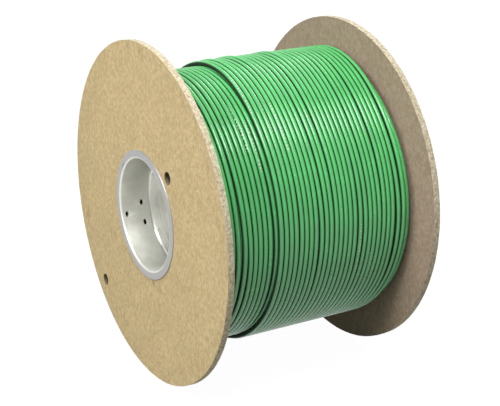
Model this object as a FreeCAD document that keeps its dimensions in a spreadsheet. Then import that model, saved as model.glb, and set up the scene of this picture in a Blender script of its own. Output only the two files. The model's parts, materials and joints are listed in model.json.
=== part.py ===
"""Wire spool: two fibreboard flanges on a steel hub, wound with green insulated wire.

Millimetres. The spool stands on its two rims: the origin is on the floor under its
middle, +Z is up and +Y runs along the arbor. The near flange is the one at -Y.
"""
import FreeCAD, Part
import os
import Sketcher

SIZES = (
    # The two boards, cut from 3/16 inch fibreboard
    ("flange_diameter", 254.0),
    ("flange_thickness", 4.76),
    ("flange_spacing", 160.7),
    ("hub_hole_diameter", 9.5),
    ("hub_hole_radius", 56.3),
    ("hub_hole_angle", 45.0),
    ("tie_hole_diameter", 9.5),
    ("tie_hole_radius", 112.1),
    ("tie_hole_angle", -134.0),
    # The pressed ferrules, whose lips clamp the boards
    ("bore_diameter", 83.2),
    ("ferrule_wall", 0.9),
    ("ferrule_depth", 23.3),
    ("lip_diameter", 95.9),
    ("lip_bend", 1.0),
    ("board_fit", 0.15),
    # The stakes that pin a ferrule to its board and to the barrel
    ("stake_diameter", 3.8),
    ("board_stake_depth", 4.0),
    ("barrel_stake_depth", 17.5),
    ("stake_angle", -161.0),
    ("stake_spread", 10.5),
    # The barrel tube, belled at both ends to take the sleeves
    ("barrel_wall", 0.9),
    ("socket_fit", 0.1),
    ("socket_end_gap", 0.4),
    ("shoulder_length", 1.6),
    # The wire, and how its turns and layers lie
    ("wire_diameter", 4.05),
    ("turn_gap", 0.03),
    ("layer_nesting", 0.45),
    ("full_layers", 16),
    ("top_layer_turns", 26),
    ("winding_fit", 0.1),
    ("full_layers_near_gap", 0.3),
    ("full_layers_far_gap", 2.3),
    ("top_layer_far_gap", 8.7),
    ("layer_shoulder", 1.2),
    # The wire's cut end, which lies on the layer below at the back of the spool
    ("wire_end_angle", -132.0),
    ("wire_end_length", 14.0),
    ("wire_end_room", 25.0),
    ("conductor_diameter", 2.3),
    ("conductor_length", 3.0),
)

# Lengths that several pieces share, as expressions of the sizes above
AXIS_HEIGHT = "sizes.flange_diameter / 2"
BORE_R = "sizes.bore_diameter / 2"
SLEEVE_R = f"({BORE_R} + sizes.ferrule_wall)"
BOARD_HOLE_R = f"({SLEEVE_R} + sizes.board_fit)"
SOCKET_R = f"({SLEEVE_R} + sizes.socket_fit)"
BARREL_R = f"({SOCKET_R} + sizes.barrel_wall)"
BARREL_HALF = "(sizes.flange_spacing / 2)"
LIP_FACE = f"({BARREL_HALF} + sizes.flange_thickness + sizes.ferrule_wall)"
SOCKET_DEPTH = "(sizes.ferrule_depth - sizes.ferrule_wall - sizes.flange_thickness + sizes.socket_end_gap)"
WIRE_R = "(sizes.wire_diameter / 2)"
TURN_SPACING = "(sizes.wire_diameter + sizes.turn_gap)"
TOP_FAR = f"({BARREL_HALF} - sizes.top_layer_far_gap)"
TOP_NEAR = f"({TOP_FAR} - sizes.top_layer_turns * {TURN_SPACING})"

# How closely an edge must match the radius and the place that it is looked up by
EDGE_MATCH = 1e-4

document = FreeCAD.newDocument("WireSpool")


def make_sizes():
    """The spreadsheet that drives every length and angle."""
    sheet = document.addObject("Spreadsheet::Sheet", "sizes")
    for row, (alias, value) in enumerate(SIZES, start=1):
        sheet.set(f"A{row}", alias.replace("_", " "))
        sheet.set(f"B{row}", str(value))
        sheet.setAlias(f"B{row}", alias)
    document.recompute()


def value_of(expression):
    """The number that an expression of the sizes gives."""
    result = document.sizes.evalExpression(expression)
    return float(getattr(result, "Value", result))


def layer_outside(layer):
    """Outer radius of the winding at one of its layers, counted from the barrel."""
    rise = "(sizes.wire_diameter - sizes.layer_nesting)"
    return f"({BARREL_R} + sizes.winding_fit + sizes.wire_diameter + ({layer} - 1) * {rise})"


def place(piece, height, axial, turned=False):
    """Put a piece at its height and its place along the arbor; turned faces it the other way."""
    if turned:
        piece.Placement.Rotation = FreeCAD.Rotation(FreeCAD.Vector(0, 0, 1), 180)
    piece.setExpression("Placement.Base.z", height)
    piece.setExpression("Placement.Base.y", axial)


def new_body(label):
    """An empty piece, which is written to a file of the same name."""
    body = document.addObject("PartDesign::Body", label)
    body.Label = label
    return body


def sketch_on(body, role, name):
    """An empty sketch on one of the body's own origin planes."""
    sketch = body.newObject("Sketcher::SketchObject", name)
    plane = next(item for item in body.Origin.OriginFeatures if item.Role == role)
    sketch.AttachmentSupport = [(plane, "")]
    sketch.MapMode = "FlatFace"
    return sketch


def bind_point(sketch, geometry, point, x, y):
    """Hold a point of the sketch at two distances from its origin."""
    for kind, expression in (("DistanceX", x), ("DistanceY", y)):
        index = sketch.addConstraint(
            Sketcher.Constraint(kind, -1, 1, geometry, point, value_of(expression)))
        sketch.setExpression(f"Constraints[{index}]", expression)


def draw_circle(sketch, x, y, radius):
    """A circle whose centre and radius follow expressions."""
    centre = FreeCAD.Vector(value_of(x), value_of(y), 0)
    circle = sketch.addGeometry(Part.Circle(centre, FreeCAD.Vector(0, 0, 1), value_of(radius)))
    index = sketch.addConstraint(Sketcher.Constraint("Radius", circle, value_of(radius)))
    sketch.setExpression(f"Constraints[{index}]", radius)
    if x == "0" and y == "0":
        sketch.addConstraint(Sketcher.Constraint("Coincident", circle, 3, -1, 1))
    else:
        bind_point(sketch, circle, 3, x, y)


def draw_profile(sketch, corners):
    """A closed outline of straight sides, each corner held at its two expressions."""
    points = [FreeCAD.Vector(value_of(x), value_of(y), 0) for x, y in corners]
    count = len(points)
    for index, start in enumerate(points):
        sketch.addGeometry(Part.LineSegment(start, points[(index + 1) % count]))
    for index, (x, y) in enumerate(corners):
        sketch.addConstraint(
            Sketcher.Constraint("Coincident", index, 2, (index + 1) % count, 1))
        bind_point(sketch, index, 1, x, y)


def turn_section(body, kind, name, sweep="360"):
    """Turn the body's newest sketch about the arbor's axis, from its plane towards +Z."""
    sketch = body.Group[-1]
    turned = body.newObject(kind, name)
    turned.Profile = sketch
    turned.ReferenceAxis = (sketch, ["V_Axis"])
    turned.Reversed = True
    turned.setExpression("Angle", f"{sweep} * 1 deg")
    sketch.Visibility = False
    document.recompute()
    return turned


def revolve(body, corners, name):
    """Turn a half section, drawn as (radius, place along the arbor), all the way round."""
    draw_profile(sketch_on(body, "XY_Plane", name + "_section"), corners)
    return turn_section(body, "PartDesign::Revolution", name)


def edge_at(shape, radius, axial):
    """Name of the round edge about the arbor's axis with that radius and place."""
    for index, edge in enumerate(shape.Edges, start=1):
        curve = edge.Curve
        if not isinstance(curve, Part.Circle) or 1 - abs(curve.Axis.y) > EDGE_MATCH:
            continue
        if abs(curve.Radius - radius) < EDGE_MATCH and abs(curve.Center.y - axial) < EDGE_MATCH:
            return f"Edge{index}"
    raise ValueError(f"no round edge of radius {radius} at {axial}")


def soften(body, feature, name, edges, size):
    """Bevel round edges of the newest feature, each given by its radius and its place."""
    found = [edge_at(feature.Shape, value_of(radius), value_of(axial)) for radius, axial in edges]
    bevel = body.newObject("PartDesign::Chamfer", name)
    bevel.Base = (feature, found)
    bevel.setExpression("Size", size)
    document.recompute()


def pierce(body, name, angle, axial):
    """A round hole from the arbor's axis straight out through the wall, at an angle."""
    sketch = sketch_on(body, "YZ_Plane", name + "_outline")
    sketch.AttachmentOffset = FreeCAD.Placement(
        FreeCAD.Vector(0, 0, 0), FreeCAD.Rotation(FreeCAD.Vector(1, 0, 0), 1))
    sketch.setExpression("AttachmentOffset.Rotation.Angle", f"-1 * ({angle}) * 1 deg")
    draw_circle(sketch, axial, "0", "sizes.stake_diameter / 2")
    hole = body.newObject("PartDesign::Pocket", name)
    hole.Profile = sketch
    hole.Type = "ThroughAll"
    hole.Reversed = True
    sketch.Visibility = False
    document.recompute()


def make_flange(label, axial):
    """A round board, punched for the hub, for a drive pin and for the tied end of the wire."""
    body = new_body(label)
    sketch = sketch_on(body, "XZ_Plane", label + "_outline")
    draw_circle(sketch, "0", "0", "sizes.flange_diameter / 2")
    draw_circle(sketch, "0", "0", BOARD_HOLE_R)
    for hole in ("hub_hole", "tie_hole"):
        draw_circle(sketch,
                    f"sizes.{hole}_radius * cos(sizes.{hole}_angle * 1 deg)",
                    f"sizes.{hole}_radius * sin(sizes.{hole}_angle * 1 deg)",
                    f"sizes.{hole}_diameter / 2")
    board = body.newObject("PartDesign::Pad", label + "_board")
    board.Profile = sketch
    board.setExpression("Length", "sizes.flange_thickness")
    sketch.Visibility = False
    place(body, AXIS_HEIGHT, axial)
    return body


def make_ferrule(label, axial, turned):
    """A pressed sleeve with a lip turned out flat over the board."""
    body = new_body(label)
    sleeve = revolve(body, (
        (BORE_R, "0"),
        ("sizes.lip_diameter / 2", "0"),
        ("sizes.lip_diameter / 2", "sizes.ferrule_wall"),
        (SLEEVE_R, "sizes.ferrule_wall"),
        (SLEEVE_R, "sizes.ferrule_depth"),
        (BORE_R, "sizes.ferrule_depth"),
    ), label + "_sleeve")
    soften(body, sleeve, label + "_bend", ((BORE_R, "0"),), "sizes.lip_bend")
    pierce(body, label + "_board_stake", "sizes.stake_angle", "sizes.board_stake_depth")
    for name, side in (("upper", "-"), ("lower", "+")):
        pierce(body, f"{label}_{name}_stake", f"sizes.stake_angle {side} sizes.stake_spread",
               "sizes.barrel_stake_depth")
    place(body, AXIS_HEIGHT, axial, turned)
    return body


def make_barrel():
    """The tube that the wire is wound on, belled at each end over a ferrule's sleeve."""
    body = new_body("barrel")
    straight = f"({BARREL_HALF} - {SOCKET_DEPTH})"
    waist = f"({straight} - sizes.shoulder_length)"
    waist_r = f"({BORE_R} + sizes.barrel_wall)"
    revolve(body, (
        (BORE_R, f"-{waist}"),
        (BORE_R, waist),
        (SOCKET_R, straight),
        (SOCKET_R, BARREL_HALF),
        (BARREL_R, BARREL_HALF),
        (BARREL_R, straight),
        (waist_r, waist),
        (waist_r, f"-{waist}"),
        (BARREL_R, f"-{straight}"),
        (BARREL_R, f"-{BARREL_HALF}"),
        (SOCKET_R, f"-{BARREL_HALF}"),
        (SOCKET_R, f"-{straight}"),
    ), "barrel_tube")
    stake = f"({LIP_FACE} - sizes.barrel_stake_depth)"
    for name, side in (("upper", "-"), ("lower", "+")):
        angle = f"sizes.stake_angle {side} sizes.stake_spread"
        pierce(body, f"near_{name}_stake", angle, f"-{stake}")
        pierce(body, f"far_{name}_stake", f"180 - ({angle})", stake)
    place(body, AXIS_HEIGHT, "0")
    return body


def make_full_layers():
    """The layers that reach from board to board, wound on the barrel."""
    body = new_body("wire_full_layers")
    inside = f"({BARREL_R} + sizes.winding_fit)"
    outside = layer_outside("sizes.full_layers")
    near = f"-({BARREL_HALF} - sizes.full_layers_near_gap)"
    far = f"({BARREL_HALF} - sizes.full_layers_far_gap)"
    revolve(body, ((inside, near), (outside, near), (outside, far), (inside, far)), "full_turns")
    place(body, AXIS_HEIGHT, "0")


def make_top_layer():
    """The part-wound layer, open at the back where the wire's end lies."""
    body = new_body("wire_top_layer")
    inside = f"({layer_outside('sizes.full_layers')} + sizes.winding_fit)"
    outside = layer_outside("sizes.full_layers + 1")
    turns = revolve(body, (
        (inside, TOP_NEAR), (outside, TOP_NEAR), (outside, TOP_FAR), (inside, TOP_FAR)), "top_turns")
    soften(body, turns, "top_shoulders", ((outside, TOP_NEAR), (outside, TOP_FAR)), "sizes.layer_shoulder")
    last_turn = f"({TOP_NEAR} + {TURN_SPACING})"
    below = f"({inside} - {WIRE_R})"
    above = f"({outside} + {WIRE_R})"
    before = f"({TOP_NEAR} - {WIRE_R})"
    draw_profile(sketch_on(body, "XY_Plane", "wire_end_section"), (
        (below, before), (above, before), (above, last_turn), (below, last_turn)))
    turn_section(body, "PartDesign::Groove", "wire_end_opening",
                 "(sizes.wire_end_room + sizes.wire_end_length)")
    turn_to(body, "sizes.wire_end_angle - sizes.wire_end_room")
    place(body, AXIS_HEIGHT, "0")


def draw_wire(body, name, diameter):
    """The wire's round section where its end lies on the layer below."""
    radius = f"({layer_outside('sizes.full_layers')} + sizes.winding_fit + {WIRE_R})"
    axial = f"({TOP_NEAR} + {TURN_SPACING} / 2)"
    draw_circle(sketch_on(body, "XY_Plane", name + "_section"), radius, axial, f"{diameter} / 2")


def turn_to(body, angle):
    """Turn a piece about the arbor's axis, so that what starts on +X starts at an angle."""
    body.Placement.Rotation = FreeCAD.Rotation(FreeCAD.Vector(0, 1, 0), 1)
    body.setExpression("Placement.Rotation.Angle", f"-1 * ({angle}) * 1 deg")


def make_wire_end():
    """The last stretch of the wire up to its cut, and the copper that shows in the cut."""
    insulation = new_body("wire_end_insulation")
    draw_wire(insulation, "jacket", "sizes.wire_diameter")
    turn_section(insulation, "PartDesign::Revolution", "jacket", "sizes.wire_end_length")
    draw_wire(insulation, "conductor_seat", "sizes.conductor_diameter")
    turn_section(insulation, "PartDesign::Groove", "conductor_seat", "sizes.conductor_length")
    conductor = new_body("wire_end_conductor")
    draw_wire(conductor, "strands", "sizes.conductor_diameter")
    turn_section(conductor, "PartDesign::Revolution", "strands", "sizes.conductor_length")
    for body in (insulation, conductor):
        turn_to(body, "sizes.wire_end_angle")
        place(body, AXIS_HEIGHT, "0")


def build():
    """Make every piece of the spool."""
    make_sizes()
    make_flange("near_flange", f"-{BARREL_HALF}")
    make_flange("far_flange", f"{BARREL_HALF} + sizes.flange_thickness")
    make_ferrule("near_ferrule", f"-{LIP_FACE}", False)
    make_ferrule("far_ferrule", LIP_FACE, True)
    make_barrel()
    make_full_layers()
    make_top_layer()
    make_wire_end()
    document.recompute()


def check_and_write():
    """Stop at any failed feature or bad solid, then write one file for each piece."""
    for item in document.Objects:
        if {"Invalid", "Error"} & set(item.State):
            raise RuntimeError(f"{item.Name} failed: {item.State}")
    bodies = [item for item in document.Objects if item.TypeId == "PartDesign::Body"]
    for body in bodies:
        if body.Shape.isNull() or not body.Shape.isValid() or len(body.Shape.Solids) != 1:
            raise RuntimeError(f"{body.Label} isn't one valid solid")
    os.makedirs("parts", exist_ok=True)
    for body in bodies:
        body.Shape.exportStep(f"parts/{body.Label}.step")
        box = body.Shape.BoundBox
        print(f"{body.Label}: {body.Shape.Volume:.0f} mm3, y {box.YMin:.2f} to {box.YMax:.2f}, "
              f"z {box.ZMin:.2f} to {box.ZMax:.2f}")


build()
check_and_write()
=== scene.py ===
"""Wire spool: two fibreboard flanges on a pressed steel hub, wound with green insulated wire.

Metres. The spool stands on its two rims on the floor, +Z is up and +Y runs along the arbor, away
from the near flange. Angles about the arbor start at +X and rise towards +Z.
"""
import json
import math
import random

import bmesh
import bpy
from bpy.props import FloatProperty, FloatVectorProperty, IntProperty, PointerProperty
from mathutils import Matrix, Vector, noise


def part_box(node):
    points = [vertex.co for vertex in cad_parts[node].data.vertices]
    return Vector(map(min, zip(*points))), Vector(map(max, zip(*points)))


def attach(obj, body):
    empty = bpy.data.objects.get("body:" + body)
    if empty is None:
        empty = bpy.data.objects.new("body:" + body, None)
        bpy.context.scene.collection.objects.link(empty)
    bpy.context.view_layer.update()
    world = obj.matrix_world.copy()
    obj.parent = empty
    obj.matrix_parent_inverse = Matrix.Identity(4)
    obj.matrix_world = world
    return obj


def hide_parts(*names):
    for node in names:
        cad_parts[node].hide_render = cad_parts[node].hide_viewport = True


bl_info = {
    "name": "Wire Spool",
    "version": (1, 0, 0),
    "blender": (4, 5, 0),
    "location": "3D View > Sidebar > Spool",
    "description": "Dresses a wire spool: boards, hub, winding, finishes, studio and camera",
    "category": "Add Mesh",
}

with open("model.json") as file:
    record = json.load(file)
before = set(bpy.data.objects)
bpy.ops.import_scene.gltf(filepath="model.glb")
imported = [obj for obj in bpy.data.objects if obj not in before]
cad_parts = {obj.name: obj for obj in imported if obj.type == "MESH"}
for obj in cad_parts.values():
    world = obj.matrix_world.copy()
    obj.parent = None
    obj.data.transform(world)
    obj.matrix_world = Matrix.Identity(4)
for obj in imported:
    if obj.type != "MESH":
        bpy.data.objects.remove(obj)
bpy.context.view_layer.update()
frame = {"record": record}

MOUNTS = {mount["name"]: mount for mount in frame["record"]["mounts"]}
AXIS = MOUNTS["arbor_bore"]["pos_m"][2]
BORE = MOUNTS["arbor_bore"]["dims"]["r_mm"] / 1000
BOARD_IN, BOARD_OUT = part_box("far_flange")[0].y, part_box("far_flange")[1].y
FERRULE_LOW, FERRULE_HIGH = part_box("far_ferrule")
LAYER_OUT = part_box("wire_full_layers")[1].z - AXIS
TOP_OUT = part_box("wire_top_layer")[1].z - AXIS
TOP_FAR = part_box("wire_top_layer")[1].y
BARREL_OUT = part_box("barrel")[1].z - AXIS

# Where the photograph's row of turns is read: every place along the arbor is given at this angle
READ_AT = 17.0
# Where the wire climbs at the far board from the last full layer into the top layer
CLIMB_AT = 150.0
# Where the wire is cut off, at the back under the spool
CUT_AT = -132.0
# Degrees of turning between the control points of a laid wire
STEP = 10
# How far the drills reach: right through a board, and just through the ferrule and the barrel
BOARD_DRILL, STAKE_DRILL = 0.03, 0.006
# A stake's hole is drawn out round the bore and narrow along it
STAKE_FORM = (1.15, 0.68, 1)
# The stakes at one end: angle about the arbor at the near end, and depth from the lip's face. The
# first goes into the board, the other two into the barrel.
STAKES = ((-161.8, 0.0046), (-171.5, 0.0173), (-150.4, 0.0177))
# How far the board's own hole stands off the ferrule's sleeve
HUB_PLAY = 0.00015
# The slit torn in each lip: angle, place out from the bore, half its length and its depth
TEAR_AT, TEAR_OUT, TEAR_HALF, TEAR_DEPTH = 140, 0.0025, 0.0034, 0.0012
# The grip marks in a row: how many, the first one's angle, degrees between them, place along
GRIPS, GRIP_FIRST, GRIP_STEP, GRIP_ALONG = 7, -164.5, 2.1, 0.0565
# Rotation that lays a +Z cylinder or ring along the arbor
ALONG_ARBOR = (math.pi / 2, 0, 0)
# Materials that are already made, by the function that makes them
MADE = {}


def linear(code):
    """A colour written as an sRGB hex code, in the linear values that shaders take."""
    parts = [int(code[i:i + 2], 16) / 255 for i in (1, 3, 5)]
    return tuple(v / 12.92 if v <= 0.04045 else ((v + 0.055) / 1.055) ** 2.4 for v in parts)


def length(name, default, description):
    """A length that the user can set, in metres."""
    return FloatProperty(name=name, default=default, unit="LENGTH", precision=5, description=description)


def colour(name, code, description):
    """A colour that the user can set."""
    return FloatVectorProperty(name=name, size=3, subtype="COLOR", min=0, max=1, default=linear(code),
                               description=description)


class SpoolSizes(bpy.types.PropertyGroup):
    """Sizes of the details that the solids leave out."""

    edge_bevel: length("Board edge", 0.0004, "How much of the boards' sharp edges is worn away")
    edge_rough: length("Rim roughness", 0.0003, "How deep the torn fibres of the boards' rims go")
    stake: length("Stake", 0.0038, "Diameter of the punch that staked the ferrules")
    lip_bend: length("Lip bend", 0.0013, "Radius of the bend from a ferrule's sleeve into its lip")
    sheet: length("Sheet steel", 0.0009, "Thickness of the ferrules and the barrel")
    wire: length("Wire", 0.0040, "Outer diameter of the insulated wire")
    conductor: length("Conductor", 0.0023, "Diameter of the stranded conductor")
    full_pitch: length("Full layer pitch", 0.004062, "Spacing of the turns in the last full layer")
    top_pitch: length("Top layer pitch", 0.00402, "Spacing of the turns in the top layer")
    layer_rise: length("Layer rise", 0.0036, "How much each layer adds to the winding's radius")
    flat: length("Flat", 0.0020, "How much lower the winding is at the bottom of its front")
    waviness: length("Waviness", 0.00006, "How far a turn wanders from its even line")
    full_turns: IntProperty(name="Full layer turns", default=39, min=1,
                            description="Turns of the last full layer")
    top_turns: IntProperty(name="Top layer turns", default=26, min=1,
                           description="Turns of the part-wound top layer")


class SpoolColours(bpy.types.PropertyGroup):
    """Colours of the finishes."""

    board: colour("Fibreboard", "#D4BF91", "Kraft face of the boards")
    # Painted shade: the colour that the boards' inner sides get for the shade that they lie in
    board_inside_shade: colour("Board inside", "#AC9886", "Unfaced pulp on the boards' inner sides")
    board_edge: colour("Cut edge", "#CBBFA0", "Bare pulp where the boards are cut")
    pressed: colour("Pressed steel", "#E8E9E0", "Zinc-plated steel of the ferrules")
    tube: colour("Tube steel", "#F0F0EB", "Bright steel of the barrel")
    green: colour("Green insulation", "#50BF66", "Extruded wire insulation")
    marks: colour("Marks", "#D5DCCF", "Faded marks along the wire")
    copper: colour("Copper", "#D08A62", "Cut strands of the conductor")


def sizes():
    """The sizes as the user has set them."""
    return bpy.context.scene.spool_sizes


def colours():
    """The colours as the user has set them."""
    return bpy.context.scene.spool_colours


def bump(angle, centre, spread):
    """1 at the centre, falling smoothly to 0 at the spread, for angles in degrees."""
    off = abs((angle - centre + 180) % 360 - 180)
    return 0.5 + 0.5 * math.cos(math.pi * min(off / spread, 1))


def ease(value, low, high):
    """0 below low, 1 above high and a smooth rise between."""
    share = min(max((value - low) / (high - low), 0), 1)
    return share * share * (3 - 2 * share)


def about_arbor(turn, radius, along):
    """The point at an angle in radians about the arbor, a radius and a place along it."""
    return Vector((radius * math.cos(turn), along, AXIS + radius * math.sin(turn)))


def deselect():
    """Leave nothing selected, so that the next operator acts only on what it adds."""
    bpy.ops.object.select_all(action="DESELECT")


def only(piece):
    """Select one piece and nothing else."""
    deselect()
    piece.select_set(True)
    bpy.context.view_layer.objects.active = piece


def settle(piece):
    """Put the piece's place and turn into its mesh."""
    only(piece)
    bpy.ops.object.transform_apply(location=True, rotation=True, scale=True)


def join(pieces, name):
    """Make one piece of several, under one name."""
    deselect()
    for piece in pieces:
        piece.select_set(True)
    bpy.context.view_layer.objects.active = pieces[0]
    bpy.ops.object.join()
    whole = bpy.context.object
    whole.name = name
    return whole


def pick(piece, mode, test):
    """In edit mode, select the edges or faces that pass a test on their centre and direction."""
    bpy.ops.mesh.select_mode(type=mode)
    bpy.ops.mesh.select_all(action="DESELECT")
    mesh = bmesh.from_edit_mesh(piece.data)
    if mode == "EDGE":
        for edge in mesh.edges:
            start, end = (vert.co for vert in edge.verts)
            edge.select_set(test((start + end) / 2, end - start))
    else:
        for face in mesh.faces:
            face.select_set(test(face.calc_center_median(), face.normal))
    bmesh.update_edit_mesh(piece.data)


def drill(piece, place, turn, radius, depth, squeeze=(1, 1, 1)):
    """Cut a hole through a piece; turn is the drill's rotation from +Z, squeeze its scale."""
    deselect()
    bpy.ops.mesh.primitive_cylinder_add(vertices=40 if radius < 0.01 else 160, radius=radius,
                                        depth=depth, location=place, rotation=turn)
    cutter = bpy.context.object
    cutter.scale = squeeze
    settle(cutter)
    only(piece)
    cut = piece.modifiers.new("hole", "BOOLEAN")
    cut.operation = "DIFFERENCE"
    cut.solver = "EXACT"
    cut.object = cutter
    bpy.ops.object.modifier_apply(modifier=cut.name)
    bpy.data.objects.remove(cutter)


def bevel(piece, width, segments, angle):
    """Round every edge of a piece that is sharper than an angle in degrees."""
    only(piece)
    rounding = piece.modifiers.new("rounding", "BEVEL")
    rounding.width = width
    rounding.segments = segments
    rounding.limit_method = "ANGLE"
    rounding.angle_limit = math.radians(angle)
    bpy.ops.object.modifier_apply(modifier=rounding.name)


def smooth(piece, angle=35):
    """Shade a piece smooth, except over edges that are sharper than the angle."""
    only(piece)
    bpy.ops.object.shade_smooth_by_angle(angle=math.radians(angle))


def turned_ring(name, outline, steps=192):
    """A ring about the arbor, from a closed outline of (radius, place along the arbor)."""
    deselect()
    bpy.ops.mesh.primitive_circle_add(vertices=steps, radius=outline[0][0],
                                      location=(0, outline[0][1], AXIS), rotation=ALONG_ARBOR)
    ring = bpy.context.object
    ring.name = name
    settle(ring)
    bpy.ops.object.mode_set(mode="EDIT")
    bpy.ops.mesh.select_mode(type="EDGE")
    bpy.ops.mesh.select_all(action="SELECT")
    for (radius, along), (next_radius, next_along) in zip(outline, outline[1:] + outline[:1]):
        bpy.ops.mesh.extrude_edges_move()
        grow = next_radius / radius
        bpy.ops.transform.resize(value=(grow, 1, grow), center_override=(0, 0, AXIS))
        bpy.ops.transform.translate(value=(0, next_along - along, 0))
    bpy.ops.mesh.select_all(action="SELECT")
    bpy.ops.mesh.remove_doubles(threshold=1e-6)
    bpy.ops.mesh.normals_make_consistent(inside=False)
    bpy.ops.object.mode_set(mode="OBJECT")
    return ring


def finish_piece(piece, slot, materials, *nodes):
    """Give a piece its materials and the solids that it stands for; the slot is not used."""
    for number, material in enumerate(materials):
        if number < len(piece.data.materials):
            piece.data.materials[number] = material
        else:
            piece.data.materials.append(material)
    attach(piece, "root")
    if nodes:
        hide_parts(*nodes)
    return piece


def new_material(name):
    """An empty material with its shader; returns its node tree, the shader and the material."""
    material = bpy.data.materials.new(name)
    material.use_nodes = True
    tree = material.node_tree
    shader = next(item for item in tree.nodes if item.type == "BSDF_PRINCIPLED")
    return tree, shader, material


def node(tree, kind, links=(), **settings):
    """Add a node. Settings are attributes or, where no attribute has that name, input values; links
    are (input, socket) pairs."""
    made = tree.nodes.new(kind)
    for name, value in settings.items():
        if hasattr(made, name):
            setattr(made, name, value)
        else:
            made.inputs[name.replace("_", " ")].default_value = value
    for target, source in links:
        tree.links.new(source, made.inputs[target])
    return made


def span(tree, value, low, high, start=0.0, end=1.0):
    """A value's share of the way from low to high, mapped from start to end and held there."""
    return node(tree, "ShaderNodeMapRange", [("Value", value)], clamp=True, From_Min=low, From_Max=high,
                To_Min=start, To_Max=end).outputs["Result"]


def math_of(tree, operation, first, second):
    """The sum, product or other result of two sockets or numbers."""
    made = node(tree, "ShaderNodeMath", operation=operation)
    for socket, value in zip(made.inputs, (first, second)):
        if isinstance(value, (int, float)):
            socket.default_value = value
        else:
            tree.links.new(value, socket)
    return made.outputs["Value"]


def blend(tree, share, first, second):
    """A colour mixed from two, each a socket or a linear colour."""
    made = node(tree, "ShaderNodeMix", data_type="RGBA")
    pairs = ((made.inputs[0], share), (made.inputs[6], first), (made.inputs[7], second))
    for socket, value in pairs:
        if isinstance(value, (int, float)):
            socket.default_value = value
        elif isinstance(value, (tuple, list)) or not hasattr(value, "links"):
            socket.default_value = (*value[:3], 1)
        else:
            tree.links.new(value, socket)
    return made.outputs[2]


def part_of_each(tree, value, period, share):
    """1 over the first share of each period of a value, 0 over the rest."""
    phase = math_of(tree, "FRACT", math_of(tree, "DIVIDE", value, period), 0)
    return math_of(tree, "LESS_THAN", phase, share)


def centred(tree):
    """Object coordinates with their origin on the arbor's axis."""
    where = node(tree, "ShaderNodeTexCoord").outputs["Object"]
    moved = node(tree, "ShaderNodeVectorMath", [(0, where)], operation="SUBTRACT")
    moved.inputs[1].default_value = (0, 0, AXIS)
    return moved.outputs[0]


def noise_of(tree, place, size, detail=3.0, rough=0.5, stretch=(1, 1, 1)):
    """Noise with grains about size metres across, stretched along each axis."""
    mapped = node(tree, "ShaderNodeMapping", [("Vector", place)])
    mapped.inputs["Scale"].default_value = [1 / (size * part) for part in stretch]
    return node(tree, "ShaderNodeTexNoise", [("Vector", mapped.outputs[0])], Scale=1.0, Detail=detail,
                Roughness=rough).outputs["Fac"]


def spoke_of(tree, place):
    """The part of a place that points away from the arbor's axis."""
    flat = node(tree, "ShaderNodeVectorMath", [(0, place)], operation="MULTIPLY")
    flat.inputs[1].default_value = (1, 0, 1)
    return flat.outputs[0]


def radius_of(tree, place):
    """Distance from the arbor's axis."""
    spoke = spoke_of(tree, place)
    return node(tree, "ShaderNodeVectorMath", [(0, spoke)], operation="LENGTH").outputs["Value"]


def varied(tree, share, base, low, high):
    """A base colour that varies between two brightnesses of itself, at most white."""
    return blend(tree, share, [v * low for v in base], [min(v * high, 1) for v in base])


def raised(tree, shader, height, distance, strength=1.0):
    """Bump the surface by a height from 0 to 1 that stands for a distance in metres."""
    made = node(tree, "ShaderNodeBump", [("Height", height)], Strength=strength, Distance=distance)
    tree.links.new(made.outputs["Normal"], shader.inputs["Normal"])


# Handling marks on the near board's face: place across, place up from the axis, and radius, in mm
SCUFFS = ((-58, 108, 7), (-21, 120, 5), (1, 122, 6), (20, 119, 6), (27, 116, 5), (-109, -34, 9),
          (-100, -43, 6), (-59, -36, 8), (110, 37, 7), (12, -49, 6), (23, -53, 7), (-49, -98, 8),
          (-40, -105, 7))


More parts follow.
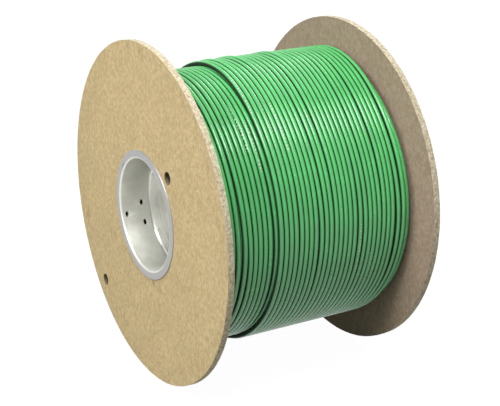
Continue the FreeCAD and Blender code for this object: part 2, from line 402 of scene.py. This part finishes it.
def fibreboard_face():
    """Kraft-faced fibreboard: grey-brown pulp pressed flat and calendered, so it is matt, softly
    mottled, and flecked with pale and dark fibres."""
    tree, shader, material = new_material("fibreboard_pressed_kraft")
    place = centred(tree)
    base = colours().board
    # Clouds of pulp 25 mm across, then a mottle of 2.2 mm, the size of the fibre clots
    cloud = noise_of(tree, place, 0.025, 2, 0.5)
    mottle = noise_of(tree, place, 0.0022, 4, 0.6, (1, 1, 1.4))
    tone = varied(tree, span(tree, cloud, 0.35, 0.65), base, 0.96, 1.03)
    tone = blend(tree, span(tree, mottle, 0.36, 0.66, 0.0, 0.7), tone, linear("#B2986A"))
    # Single fibres, 0.5 mm by 4 mm, pale and dark; finer ones would not show
    pale = noise_of(tree, place, 0.0008, 2, 0.5, (4, 1, 1))
    tone = blend(tree, span(tree, pale, 0.62, 0.72, 0, 0.45), tone, linear("#E2D3AF"))
    dark = noise_of(tree, place, 0.0009, 2, 0.5, (1, 1, 3.5))
    tone = blend(tree, span(tree, dark, 0.66, 0.76, 0, 0.5), tone, linear("#7F6A45"))
    # Flecks of clean pulp, about 1.5 mm
    fleck = noise_of(tree, place, 0.003, 1, 0.4)
    tone = blend(tree, span(tree, fleck, 0.76, 0.80, 0, 0.7), tone, linear("#E8DBBB"))
    # Grey scuffs where the board was handled, rubbed into the face in short strokes
    strokes = span(tree, noise_of(tree, place, 0.004, 3, 0.6, (1, 1, 2.2)), 0.46, 0.62)
    # The face is handled most along its rim
    handled = span(tree, radius_of(tree, place), 0.108, AXIS, 0, 0.35)
    for across, up, radius in SCUFFS:
        near = node(tree, "ShaderNodeVectorMath", [(0, place)], operation="DISTANCE")
        near.inputs[1].default_value = (across / 1000, -BOARD_OUT, up / 1000)
        spot = span(tree, near.outputs["Value"], 0, radius / 1000, 1, 0)
        handled = math_of(tree, "MAXIMUM", handled, spot)
    grime = math_of(tree, "MULTIPLY", handled, strokes)
    # Painted shade: the inner sides are painted greyer and darker, over the same mottle, for the shade that
    # they lie in
    along = node(tree, "ShaderNodeSeparateXYZ", [(0, place)]).outputs[1]
    inside = math_of(tree, "LESS_THAN", math_of(tree, "ABSOLUTE", along, 0), BOARD_IN + 0.0001)
    bare = node(tree, "ShaderNodeMix", [(6, tone)], data_type="RGBA", blend_type="MULTIPLY")
    bare.inputs[0].default_value = 1
    bare.inputs[7].default_value = [v / w for v, w in zip(colours().board_inside_shade, base)] + [1]
    tone = blend(tree, inside, tone, bare.outputs[2])
    tone = blend(tree, math_of(tree, "MULTIPLY", grime, 0.5), tone, linear("#6F6149"))
    tree.links.new(tone, shader.inputs["Base Color"])
    shader.inputs["Roughness"].default_value = 0.82
    shader.inputs["Specular IOR Level"].default_value = 0.3
    raised(tree, shader, mottle, 0.00012, 0.8)
    return material


def fibreboard_edge():
    """The same board where it is sawn: bare pulp in layers, torn, fuzzy and paler than the face."""
    tree, shader, material = new_material("fibreboard_cut_edge")
    place = centred(tree)
    # Plies 0.5 mm thick that run round with the board, and torn clots 1.5 mm long
    plies = noise_of(tree, place, 0.0011, 3, 0.6, (5, 0.5, 5))
    torn = noise_of(tree, place, 0.0021, 4, 0.75)
    tone = varied(tree, span(tree, plies, 0.35, 0.65), colours().board_edge, 0.78, 1.15)
    tone = blend(tree, span(tree, torn, 0.53, 0.64, 0, 0.7), tone, linear("#EDE7DC"))
    tone = blend(tree, span(tree, torn, 0.47, 0.37, 0, 0.6), tone, linear("#80715C"))
    # Painted shade: the walls of the holes, which lie well inside the rim, are painted dark brown
    hole_shade = math_of(tree, "LESS_THAN", radius_of(tree, place), 0.122)
    tone = blend(tree, math_of(tree, "MULTIPLY", hole_shade, 0.8), tone, linear("#4E4032"))
    tree.links.new(tone, shader.inputs["Base Color"])
    shader.inputs["Roughness"].default_value = 0.92
    shader.inputs["Specular IOR Level"].default_value = 0.2
    raised(tree, shader, torn, 0.0004, 1.0)
    return material


def pressed_steel():
    """Zinc-plated sheet steel, deep drawn: satin, with faint rings from the die and a grey bloom."""
    tree, shader, material = new_material("zinc_plated_steel_drawn")
    place = centred(tree)
    # Die rings 0.6 mm apart, drawn out to 30 mm along the sheet
    rings = noise_of(tree, place, 0.0006, 2, 0.5, (50, 1, 50))
    bloom = noise_of(tree, place, 0.009, 3, 0.6)
    tone = varied(tree, span(tree, bloom, 0.35, 0.7), colours().pressed, 0.94, 1.05)
    # Painted reflection: the flat lip is painted grey for its dull reflection, and its bend and the bore
    # are left bright for the highlight on the bend
    out = span(tree, radius_of(tree, place), BORE + 0.0009, BORE + 0.0015)
    tone = blend(tree, math_of(tree, "MULTIPLY", out, 0.85), tone, linear("#A5A5A6"))
    tree.links.new(tone, shader.inputs["Base Color"])
    shader.inputs["Metallic"].default_value = 0.8
    dull = math_of(tree, "ADD", span(tree, bloom, 0.3, 0.7, 0.4, 0.48),
                   span(tree, rings, 0.3, 0.7, -0.04, 0.06))
    tree.links.new(dull, shader.inputs["Roughness"])
    raised(tree, shader, rings, 0.00003, 0.6)
    return material


def tube_steel():
    """Rolled and seam-welded steel tube, left bright: streaks run round it and gloss varies."""
    tree, shader, material = new_material("steel_tube_bright_rolled")
    place = centred(tree)
    base = colours().tube
    streaks = noise_of(tree, place, 0.0012, 3, 0.6, (25, 1, 25))
    bloom = noise_of(tree, place, 0.012, 3, 0.6)
    tone = varied(tree, span(tree, streaks, 0.3, 0.7), base, 0.84, 1.12)
    # Painted shade: the bell and its shoulder are painted half as bright, dimming the highlight at the
    # joint
    bell_shade = span(tree, radius_of(tree, place), BORE + 0.0001, BORE + 0.0004)
    tone = blend(tree, bell_shade, tone, [v * 0.5 for v in base])
    tree.links.new(tone, shader.inputs["Base Color"])
    shader.inputs["Metallic"].default_value = 1.0
    dull = math_of(tree, "ADD", span(tree, bloom, 0.3, 0.7, 0.22, 0.4),
                   span(tree, streaks, 0.3, 0.7, -0.06, 0.08))
    tree.links.new(dull, shader.inputs["Roughness"])
    raised(tree, shader, streaks, 0.00004, 0.5)
    return material


def green_insulation():
    """PVC insulation, extruded: saturated green with a soft gloss, a faint ripple, and a row of
    short worn marks along it. The UV map runs in metres along the wire and once round it."""
    tree, shader, material = new_material("pvc_insulation_extruded")
    place = centred(tree)
    haze = noise_of(tree, place, 0.014, 3, 0.55)
    tone = varied(tree, span(tree, haze, 0.3, 0.7), colours().green, 0.9, 1.08)
    # Painted shade: the winding is painted greyer towards the bottom, where less light reaches it
    height = node(tree, "ShaderNodeSeparateXYZ", [(0, place)]).outputs[2]
    tone = blend(tree, span(tree, height, 0.07, -0.09, 0, 0.5), tone, linear("#6FA884"))
    # Painted shade between the turns: where the skin faces its neighbour and not outwards, it is painted
    # near black
    outwards = node(tree, "ShaderNodeVectorMath", [(0, spoke_of(tree, place))], operation="NORMALIZE")
    skin = node(tree, "ShaderNodeNewGeometry").outputs["Normal"]
    facing = node(tree, "ShaderNodeVectorMath", [(0, skin), (1, outwards.outputs[0])],
                  operation="DOT_PRODUCT").outputs["Value"]
    crevice_shade = span(tree, facing, 0.85, 0.48, 0, 0.98)
    tone = blend(tree, crevice_shade, tone, linear("#050B08"))
    unrolled = node(tree, "ShaderNodeUVMap", uv_map="UVMap").outputs[0]
    where = node(tree, "ShaderNodeSeparateXYZ", [(0, unrolled)])
    along, around = where.outputs[0], where.outputs[1]
    # Marks 1.6 mm long, 2.6 mm apart, in groups of 38 mm every 0.32 m
    mark = part_of_each(tree, along, 0.0026, 0.62)
    group = part_of_each(tree, along, 0.32, 0.12)
    # The wire twists slowly as it is wound, so the row wanders round it
    twist = node(tree, "ShaderNodeTexNoise", [("W", math_of(tree, "MULTIPLY", along, 0.9))],
                 noise_dimensions="1D", Scale=1.0, Detail=0.0).outputs["Fac"]
    off = math_of(tree, "SUBTRACT", around, span(tree, twist, 0.2, 0.8, 0.05, 0.95))
    row = math_of(tree, "LESS_THAN", math_of(tree, "ABSOLUTE", off, 0), 0.045)
    worn = span(tree, noise_of(tree, place, 0.0014, 2, 0.5), 0.36, 0.56)
    marked = math_of(tree, "MULTIPLY", math_of(tree, "MULTIPLY", mark, group),
                     math_of(tree, "MULTIPLY", row, worn))
    tone = blend(tree, math_of(tree, "MULTIPLY", marked, 0.7), tone, tuple(colours().marks))
    tree.links.new(tone, shader.inputs["Base Color"])
    shader.inputs["IOR"].default_value = 1.52
    shader.inputs["Specular IOR Level"].default_value = 0.6
    gloss = math_of(tree, "MAXIMUM", span(tree, haze, 0.3, 0.7, 0.2, 0.29), crevice_shade)
    tree.links.new(gloss, shader.inputs["Roughness"])
    # Extrusion ripple, 8 mm long, barely felt
    ripple = noise_of(tree, place, 0.008, 2, 0.5)
    raised(tree, shader, ripple, 0.00004, 0.5)
    return material


def bare_copper():
    """Soft-drawn copper strands, cut through: bright, with drawing lines too fine to show."""
    tree, shader, material = new_material("copper_soft_drawn")
    place = centred(tree)
    base = colours().copper
    tarnish = noise_of(tree, place, 0.0012, 3, 0.6)
    tone = blend(tree, span(tree, tarnish, 0.35, 0.7), [v * 0.7 for v in base], tuple(base))
    tree.links.new(tone, shader.inputs["Base Color"])
    shader.inputs["Metallic"].default_value = 1.0
    tree.links.new(span(tree, tarnish, 0.3, 0.7, 0.25, 0.45), shader.inputs["Roughness"])
    return material


def material_once(maker):
    """The material that a maker gives, made the first time that it is asked for."""
    if maker not in MADE:
        MADE[maker] = maker()
    return MADE[maker]


def cut_board(name, node_name, end):
    """Cut, punch and wear one board."""
    s = sizes()
    low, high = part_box(node_name)
    middle = (low.y + high.y) / 2
    deselect()
    bpy.ops.mesh.primitive_cylinder_add(vertices=720, radius=AXIS, depth=high.y - low.y,
                                        location=(0, middle, AXIS), rotation=ALONG_ARBOR)
    board = bpy.context.object
    board.name = name
    settle(board)
    bpy.ops.object.mode_set(mode="EDIT")
    pick(board, "EDGE", lambda centre, run: abs(run.y) > 0.9 * run.length)
    bpy.ops.mesh.subdivide(number_cuts=5)
    bpy.ops.object.mode_set(mode="OBJECT")
    drill(board, (0, middle, AXIS), ALONG_ARBOR, BORE + s.sheet + HUB_PLAY, BOARD_DRILL)
    for hole in ("hub_hole", "tie_hole"):
        mount = MOUNTS[f"{end}_{hole}"]
        drill(board, mount["pos_m"], ALONG_ARBOR, mount["dims"]["r_mm"] / 1000, BOARD_DRILL)
    place, turn = stakes(-1 if end == "near" else 1)[0]
    drill(board, place, turn, s.stake / 2, 0.011, STAKE_FORM)
    bevel(board, s.edge_bevel, 2, 40)
    # Torn fibres: the rim is eaten inwards, never outwards
    for vert in board.data.vertices:
        out = Vector((vert.co.x, 0, vert.co.z - AXIS))
        if out.length > AXIS - 0.0008:
            depth = 0.5 + 0.5 * noise.noise(vert.co * 420) + 0.35 * noise.noise(vert.co * 1300)
            vert.co -= out.normalized() * s.edge_rough * min(max(depth, 0), 1)
    bpy.ops.object.mode_set(mode="EDIT")
    pick(board, "FACE", lambda centre, normal: abs(normal.y) < 0.8)
    board.data.materials.append(None)
    board.data.materials.append(None)
    board.active_material_index = 1
    bpy.ops.object.material_slot_assign()
    bpy.ops.object.mode_set(mode="OBJECT")
    smooth(board, 50)
    bpy.ops.object.mode_set(mode="EDIT")
    pick(board, "FACE", lambda centre, normal: abs(normal.y) > 0.99)
    bpy.ops.mesh.faces_shade_flat()
    bpy.ops.object.mode_set(mode="OBJECT")
    finish_piece(board, "fibreboard",
                 (material_once(fibreboard_face), material_once(fibreboard_edge)), node_name)


def stakes(end):
    """Place and turn of the three stakes at one end: into the board, then two into the barrel."""
    found = []
    for angle, depth in STAKES:
        turn = math.radians(angle if end < 0 else 180 - angle)
        found.append((about_arbor(turn, BORE, end * (FERRULE_HIGH.y - depth)), (0, math.pi / 2 - turn, 0)))
    return found


def press_ferrule(name, node_name, end):
    """Draw one ferrule: its sleeve, the bend, the flat lip with its rolled edge, and its stakes."""
    s = sizes()
    lip = FERRULE_HIGH.z - AXIS
    face, inner = FERRULE_HIGH.y, FERRULE_LOW.y
    outer = BORE + s.sheet
    bend = s.lip_bend
    edge = s.sheet * 0.45
    outline = [(lip, face - s.sheet), (lip, face - edge), (lip - edge * 0.3, face - edge * 0.3),
               (lip - edge, face), (BORE + bend, face)]
    for step in range(1, 8):
        turn = math.radians(90 * step / 8)
        outline.append((BORE + bend - bend * math.sin(turn), face - bend + bend * math.cos(turn)))
    outline += [(BORE, face - bend), (BORE, inner + 0.0007), (BORE + 0.00012, inner + 0.00025),
                (BORE + 0.0004, inner), (outer - 0.0001, inner + 0.0001), (outer, inner + 0.0005),
                (outer, face - s.sheet - 0.0005), (outer + 0.0005, face - s.sheet)]
    ferrule = turned_ring(name, [(radius, end * along) for radius, along in outline])
    # One stake into the board and two into the barrel, pierced from inside
    for place, turn in stakes(end):
        drill(ferrule, place, turn, s.stake / 2, STAKE_DRILL, STAKE_FORM)
    # The bend has torn a little where the lip is stretched most
    turn = math.radians(TEAR_AT)
    tear = about_arbor(turn, BORE + TEAR_OUT, end * face)
    drill(ferrule, tear, (math.pi / 2, math.atan2(-math.cos(turn), -math.sin(turn)), 0), TEAR_HALF,
          TEAR_DEPTH, (1, 0.1, 1))
    bevel(ferrule, 0.00018, 2, 55)
    smooth(ferrule, 40)
    finish_piece(ferrule, "pressed_steel", (material_once(pressed_steel),), node_name)


def roll_barrel():
    """Roll the barrel tube, belled over both ferrules, with its row of grip marks."""
    s = sizes()
    socket_end = FERRULE_LOW.y - 0.0004
    waist = socket_end - 0.0016
    socket = BARREL_OUT - s.sheet
    half = [(BORE, waist), (BORE + 0.0002, waist + 0.0005), (socket - 0.0002, socket_end - 0.0004),
            (socket, socket_end), (socket, BOARD_IN), (BARREL_OUT, BOARD_IN), (BARREL_OUT, socket_end),
            (BARREL_OUT - 0.0011, waist)]
    mirrored = [(radius, -along) for radius, along in reversed(half)]
    barrel = turned_ring("barrel_tube", half + mirrored)
    for end in (-1, 1):
        for place, turn in stakes(end)[1:]:
            drill(barrel, place, turn, s.stake / 2, STAKE_DRILL, STAKE_FORM)
    smooth(barrel, 40)
    finish_piece(barrel, "barrel_steel", (material_once(tube_steel),), "barrel")


def grip_marks():
    """Short ridges that the rolling jaws leave in a row inside the barrel, at each end."""
    marks = []
    for end in (-1, 1):
        for number in range(GRIPS):
            turn = math.radians(GRIP_FIRST - GRIP_STEP * number)
            deselect()
            bpy.ops.mesh.primitive_cube_add(size=1, scale=(0.00022, 0.0034, 0.0006), rotation=(0, -turn, 0),
                                            location=about_arbor(turn, BORE, end * GRIP_ALONG))
            mark = bpy.context.object
            settle(mark)
            bevel(mark, 0.0001, 2, 30)
            marks.append(mark)
    ridges = join(marks, "barrel_grip_marks")
    smooth(ridges, 50)
    finish_piece(ridges, "barrel_steel", (material_once(tube_steel),))


# Places where two neighbouring turns part: the turn before the gap, the angle of the gap's middle,
# how far it reaches either way in degrees, and how wide it opens in mm. Turns of the full layer
# count from the near board, those of the top layer from the far board.
FULL_GAPS = ((4, 62, 40, 0.5), (4, -10, 22, 0.7), (5, 0, 65, 1.7), (6, -22, 34, 0.9), (6, 80, 45, 0.6),
             (7, 20, 40, 0.2), (11, -5, 70, 0.9))
TOP_GAPS = ((1, 35, 75, 1.2), (2, -5, 42, 1.3), (5, 42, 62, 0.9), (8, 45, 60, 0.5), (9, 0, 34, 0.6),
            (10, 5, 50, 0.7), (15, 42, 70, 0.7), (17, 35, 60, 0.6), (18, -5, 38, 0.8),
            (22, 8, 26, 0.5), (25, 20, 80, 0.2))
# Over how many turns a gap's push dies away
GAP_FADE = 3.5
# Turns of the top layer that ride up on their neighbours over the top: turn, how far, in mm
RIDERS = ((13, 0.9), (14, 0.5), (20, 1.0), (21, 0.6), (24, 0.6))


def parted(turn, angle, gaps, sign):
    """How far a turn is pushed along the arbor by the gaps near it; sign is +1 where turns count
    from the near board."""
    push = 0.0
    for before, centre, reach, width in gaps:
        away = turn - before
        side = 1 if away > 0 else -1
        fade = math.exp(-abs(away - 0.5) / GAP_FADE)
        push += side * 0.5 * width / 1000 * bump(angle, centre, reach) * fade
    return sign * push


def lowered(angle):
    """How much the winding is flattened, at the bottom of its front."""
    return sizes().flat * bump(angle, -52, 62)


def wander(turned, turn, seed):
    """A turn's own small drift along the arbor, the same each time."""
    return sizes().waviness * 2 * noise.noise(Vector((turned / 75, turn * 0.31, seed)))


def full_layer_point(turned):
    """Point of the last full layer's centreline after some degrees of turning from READ_AT."""
    s = sizes()
    angle = READ_AT - turned
    along = -BOARD_IN + s.wire / 2 + s.full_pitch * turned / 360
    turn = math.floor((turned + 180) / 360) + 1
    # The turns lean away from the near board over the top, and ever less towards the far board
    along += 0.0033 * (1 - ease(along, -0.035, 0.06)) * bump(angle, 110, 90)
    along += parted(turn, angle, FULL_GAPS, 1) + wander(turned, turn, 2.0)
    room = BOARD_IN - s.wire / 2
    along = min(max(along, -room), room)
    climb = ease(turned, READ_AT - CLIMB_AT, READ_AT - CLIMB_AT + 38)
    radius = LAYER_OUT - s.wire / 2 - s.layer_rise * (1 - climb) - lowered(angle)
    return angle, radius, along


def top_layer_point(turned):
    """Point of the top layer's centreline after some degrees of turning from where it climbs."""
    s = sizes()
    angle = CLIMB_AT - turned
    read = turned - (CLIMB_AT - READ_AT)
    along = TOP_FAR - s.wire / 2 - s.top_pitch * read / 360
    turn = math.floor((read + 180) / 360) + 1
    # The first turn starts against the far board, and all the others lean after it over the top
    lean = 0.0034 + 0.0042 * ease(along, -0.032, 0.053)
    along += lean * bump(angle, 110, 70)
    along += parted(turn, angle, TOP_GAPS, -1) + wander(turned, turn, 5.0)
    room = BOARD_IN - s.wire / 2
    hold = 1 - ease(turned, 25, 70)
    along = min(along * (1 - hold) + room * hold, room)
    climb = ease(turned, 0, 45)
    level = (LAYER_OUT - s.wire / 2) * (1 - climb) + (TOP_OUT - s.wire / 2) * climb
    for rider, rise in RIDERS:
        if turn == rider:
            level += rise / 1000 * bump(angle, 108, 42)
    return angle, level - lowered(angle), along


def below_layer_point(turned):
    """Point of the layer under the last full one, which shows only in the gaps."""
    s = sizes()
    angle = READ_AT - turned
    along = BOARD_IN - s.wire - s.full_pitch * turned / 360
    return angle, LAYER_OUT - s.wire / 2 - s.layer_rise - lowered(angle), along


def lay_wire(name, point, start, stop, rows):
    """Lay wire along a centreline and give it its skin, with a UV map in metres along it."""
    deselect()
    bpy.ops.curve.primitive_nurbs_path_add(location=(0, 0, 0))
    line = bpy.context.object
    line.name = name
    spline = line.data.splines[0]
    count = int(round((stop - start) / STEP)) + 1
    spline.points.add(count - len(spline.points))
    # A cubic spline runs inside its control points, so they stand out by that much
    out = 3 / (2 + math.cos(math.radians(STEP)))
    for number, control in enumerate(spline.points):
        angle, radius, along = point(start + (stop - start) * number / (count - 1))
        control.co = (*about_arbor(math.radians(angle), out * radius, along), 1)
    spline.order_u = 4
    spline.use_endpoint_u = True
    spline.resolution_u = 3
    line.data.bevel_depth = sizes().wire / 2
    line.data.bevel_resolution = rows
    line.data.use_fill_caps = True
    run = spline.calc_length()
    bpy.ops.object.convert(target="MESH")
    wire = bpy.context.object
    for corner in wire.data.uv_layers["UVMap"].uv:
        corner.vector.x *= run
    bpy.ops.object.shade_smooth()
    return wire


def last_turned():
    """Degrees that the top layer turns from its climb to the cut."""
    return CLIMB_AT - CUT_AT + 360 * (sizes().top_turns - 1)


def wind_full_layers():
    """Wind the last full layer, the one below it, and the ends of all the layers under them."""
    s = sizes()
    green = (material_once(green_insulation),)
    stop = (s.full_turns - 1) * 360 + READ_AT - CLIMB_AT + 360
    turns = lay_wire("full_layer_turns", full_layer_point, READ_AT - CLIMB_AT, stop, 4)
    finish_piece(turns, "green_pvc", green, "wire_full_layers")
    below = lay_wire("layer_below_turns", below_layer_point, 0, (s.full_turns - 1) * 360, 2)
    finish_piece(below, "green_pvc", green)
    # Seen end on past the boards, each layer shows its first turns as rings
    random.seed(11)
    rings = []
    inner = BARREL_OUT + 0.0001 + s.wire / 2
    layers = int(round((LAYER_OUT - s.wire / 2 - inner) / s.layer_rise)) - 1
    for layer in range(layers):
        for end in (-1, 1):
            shift = random.uniform(0, 0.0006)
            for turn in range(2):
                deselect()
                along = end * (BOARD_IN - s.wire / 2 - 0.0002 - shift - turn * s.wire)
                bpy.ops.mesh.primitive_torus_add(
                    major_radius=inner + layer * s.layer_rise, minor_radius=s.wire / 2, major_segments=96,
                    minor_segments=10, location=(0, along, AXIS), rotation=ALONG_ARBOR)
                rings.append(bpy.context.object)
    ends = join(rings, "inner_layer_ends")
    settle(ends)
    # The rings carry no marks: their map is gathered at a blank place along the wire
    for corner in ends.data.uv_layers["UVMap"].uv:
        corner.vector = (0.4, 0.5)
    bpy.ops.object.shade_smooth()
    finish_piece(ends, "green_pvc", green)


def wind_top_layer():
    """Wind the part layer, from its climb at the far board to the cut at the back."""
    turns = lay_wire("top_layer_turns", top_layer_point, 0, last_turned(), 4)
    finish_piece(turns, "green_pvc", (material_once(green_insulation),), "wire_top_layer",
                 "wire_end_insulation")


def cut_end():
    """The strands of the conductor, which stand out of the cut end of the wire."""
    s = sizes()
    angle, radius, along = top_layer_point(last_turned())
    turn = math.radians(angle)
    centre = about_arbor(turn, radius, along)
    run = Vector((math.sin(turn), 0, -math.cos(turn)))
    out = Vector((math.cos(turn), 0, math.sin(turn)))
    side = Vector((0, 1, 0))
    strand = s.conductor / 10
    places = [(0, 0)]
    for ring, count in ((1, 6), (2, 12)):
        for number in range(count):
            about = 2 * math.pi * number / count
            places.append((2 * ring * strand * math.cos(about), 2 * ring * strand * math.sin(about)))
    random.seed(5)
    strands = []
    for across, up in places:
        deselect()
        reach = 0.0005 + random.uniform(0, 0.0002)
        place = centre + side * across + out * up + run * (reach - 0.0015)
        bpy.ops.mesh.primitive_cylinder_add(vertices=16, radius=strand, depth=0.003, location=place,
                                            rotation=run.to_track_quat("Z", "Y").to_euler())
        wire = bpy.context.object
        settle(wire)
        bevel(wire, strand * 0.25, 2, 40)
        strands.append(wire)
    bundle = join(strands, "copper_strands")
    smooth(bundle, 50)
    finish_piece(bundle, "copper", (material_once(bare_copper),), "wire_end_conductor")


def studio_material(name, seen, plain):
    """A matt surface that the camera sees a little lighter, so that a clean sweep reads as white
    and still keeps the object's shadow."""
    tree, shader, material = new_material(name)
    shader.inputs["Base Color"].default_value = (*linear(plain), 1)
    shader.inputs["Roughness"].default_value = 0.9
    shader.inputs["Specular IOR Level"].default_value = 0.1
    path = node(tree, "ShaderNodeLightPath")
    looks = math_of(tree, "MAXIMUM", path.outputs["Is Camera Ray"], path.outputs["Is Glossy Ray"])
    lift = node(tree, "ShaderNodeEmission", Strength=seen)
    shown = node(tree, "ShaderNodeMixShader", [(0, math_of(tree, "MULTIPLY", looks, 0.78)),
                                               (1, shader.outputs[0]), (2, lift.outputs[0])])
    output = next(item for item in tree.nodes if item.type == "OUTPUT_MATERIAL")
    tree.links.new(shown.outputs[0], output.inputs["Surface"])
    return material


def area_lamp(name, place, aim, width, power):
    """A soft square lamp that looks at a point."""
    deselect()
    bpy.ops.object.light_add(type="AREA", location=place)
    lamp = bpy.context.object
    lamp.name = name
    lamp.data.size = width
    lamp.data.energy = power
    lamp.rotation_mode = "QUATERNION"
    lamp.rotation_quaternion = (Vector(aim) - Vector(place)).to_track_quat("-Z", "Y")


# Lamps: name, direction from the spool's middle, width in metres and power in watts
LAMPS = (("key_lamp", (0.34, -0.30, 0.90), 0.7, 28), ("back_lamp", (-0.60, 0.75, 0.55), 1.0, 11),
         ("side_lamp", (0.12, -0.80, 0.58), 0.7, 14))
LAMP_REACH = 1.7


def set_stage():
    """The white sweep, the soft lamps and the camera at the photograph's angle."""
    scene = bpy.context.scene
    scene.view_settings.view_transform = "Standard"
    deselect()
    bpy.ops.mesh.primitive_plane_add(size=8, location=(0, 0, 0))
    floor = bpy.context.object
    floor.name = "studio_floor"
    floor.data.materials.append(studio_material("studio_paper_white", 1.25, "#989896"))
    world = bpy.data.worlds.new("studio")
    scene.world = world
    world.use_nodes = True
    tree = world.node_tree
    tree.nodes.clear()
    path = node(tree, "ShaderNodeLightPath")
    # White to the camera, a little less in mirrors, and dim as a light, so that the lamps model
    white, mirrored, soft = [node(tree, "ShaderNodeBackground", Color=(1, 1, 1, 1), Strength=strength)
                             for strength in (1.0, 0.75, 0.18)]
    bounced = node(tree, "ShaderNodeMixShader", [(0, path.outputs["Is Glossy Ray"]), (1, soft.outputs[0]),
                                                 (2, mirrored.outputs[0])])
    seen = math_of(tree, "MAXIMUM", path.outputs["Is Camera Ray"], path.outputs["Is Transmission Ray"])
    shown = node(tree, "ShaderNodeMixShader", [(0, seen), (1, bounced.outputs[0]), (2, white.outputs[0])])
    node(tree, "ShaderNodeOutputWorld", [("Surface", shown.outputs[0])])
    middle = Vector((0, 0, AXIS))
    for name, way, width, power in LAMPS:
        area_lamp(name, middle + Vector(way) * LAMP_REACH, middle, width, power)
    # The photograph is a long-lens view of the near board and the front of the winding
    aim = Vector((0, 0.00304, 0.12022))
    turn, rise = math.radians(60.406), math.radians(20.148)
    back = Vector((math.sin(turn) * math.cos(rise), -math.cos(turn) * math.cos(rise), math.sin(rise)))
    bpy.ops.object.camera_add(location=aim + back * 0.9513)
    camera = bpy.context.object
    camera.name = "photo_camera"
    camera.rotation_mode = "QUATERNION"
    camera.rotation_quaternion = (-back).to_track_quat("-Z", "Y")
    camera.data.lens = 90.02
    camera.data.sensor_width = 36
    camera.data.sensor_fit = "HORIZONTAL"
    camera.data.clip_start = 0.05
    camera.data.clip_end = 20
    scene.camera = camera


class SPOOL_OT_boards(bpy.types.Operator):
    """Cut both fibreboard flanges, with worn edges and torn rims"""

    bl_idname = "spool.boards"
    bl_label = "Cut Boards"

    def execute(self, context):
        cut_board("near_board", "near_flange", "near")
        cut_board("far_board", "far_flange", "far")
        return {"FINISHED"}


class SPOOL_OT_ferrules(bpy.types.Operator):
    """Press both steel ferrules, with their flat lips and stake holes"""

    bl_idname = "spool.ferrules"
    bl_label = "Press Ferrules"

    def execute(self, context):
        press_ferrule("near_hub_ring", "near_ferrule", -1)
        press_ferrule("far_hub_ring", "far_ferrule", 1)
        return {"FINISHED"}


class SPOOL_OT_barrel(bpy.types.Operator):
    """Roll the barrel tube and add the grip marks inside it"""

    bl_idname = "spool.barrel"
    bl_label = "Roll Barrel"

    def execute(self, context):
        roll_barrel()
        grip_marks()
        return {"FINISHED"}


class SPOOL_OT_full_layers(bpy.types.Operator):
    """Wind the layers that reach from board to board"""

    bl_idname = "spool.full_layers"
    bl_label = "Wind Full Layers"

    def execute(self, context):
        wind_full_layers()
        return {"FINISHED"}


class SPOOL_OT_top_layer(bpy.types.Operator):
    """Wind the part-filled top layer up to the wire's cut end"""

    bl_idname = "spool.top_layer"
    bl_label = "Wind Top Layer"

    def execute(self, context):
        wind_top_layer()
        cut_end()
        return {"FINISHED"}


class SPOOL_OT_stage(bpy.types.Operator):
    """Set the floor, the lamps and the camera"""

    bl_idname = "spool.stage"
    bl_label = "Set Stage"

    def execute(self, context):
        set_stage()
        return {"FINISHED"}


class SPOOL_PT_panel(bpy.types.Panel):
    """Lists the spool's steps and settings"""

    bl_idname = "SPOOL_PT_panel"
    bl_label = "Wire Spool"
    bl_space_type = "VIEW_3D"
    bl_region_type = "UI"
    bl_category = "Spool"

    def draw(self, context):
        for step in STEPS:
            self.layout.operator(step.bl_idname)
        for group in (context.scene.spool_sizes, context.scene.spool_colours):
            box = self.layout.box()
            for name in group.__annotations__:
                box.prop(group, name)


STEPS = (SPOOL_OT_stage, SPOOL_OT_boards, SPOOL_OT_ferrules, SPOOL_OT_barrel, SPOOL_OT_full_layers,
         SPOOL_OT_top_layer)
CLASSES = (SpoolSizes, SpoolColours) + STEPS + (SPOOL_PT_panel,)


def register():
    """Add the spool's settings, steps and panel."""
    for item in CLASSES:
        bpy.utils.register_class(item)
    bpy.types.Scene.spool_sizes = PointerProperty(type=SpoolSizes)
    bpy.types.Scene.spool_colours = PointerProperty(type=SpoolColours)


def unregister():
    """Take the spool's settings, steps and panel away again."""
    del bpy.types.Scene.spool_colours
    del bpy.types.Scene.spool_sizes
    for item in reversed(CLASSES):
        bpy.utils.unregister_class(item)


def main():
    """Make every piece."""
    register()
    for step in STEPS:
        family, name = step.bl_idname.split(".")
        getattr(getattr(bpy.ops, family), name)()


if __name__ == "__main__":
    main()
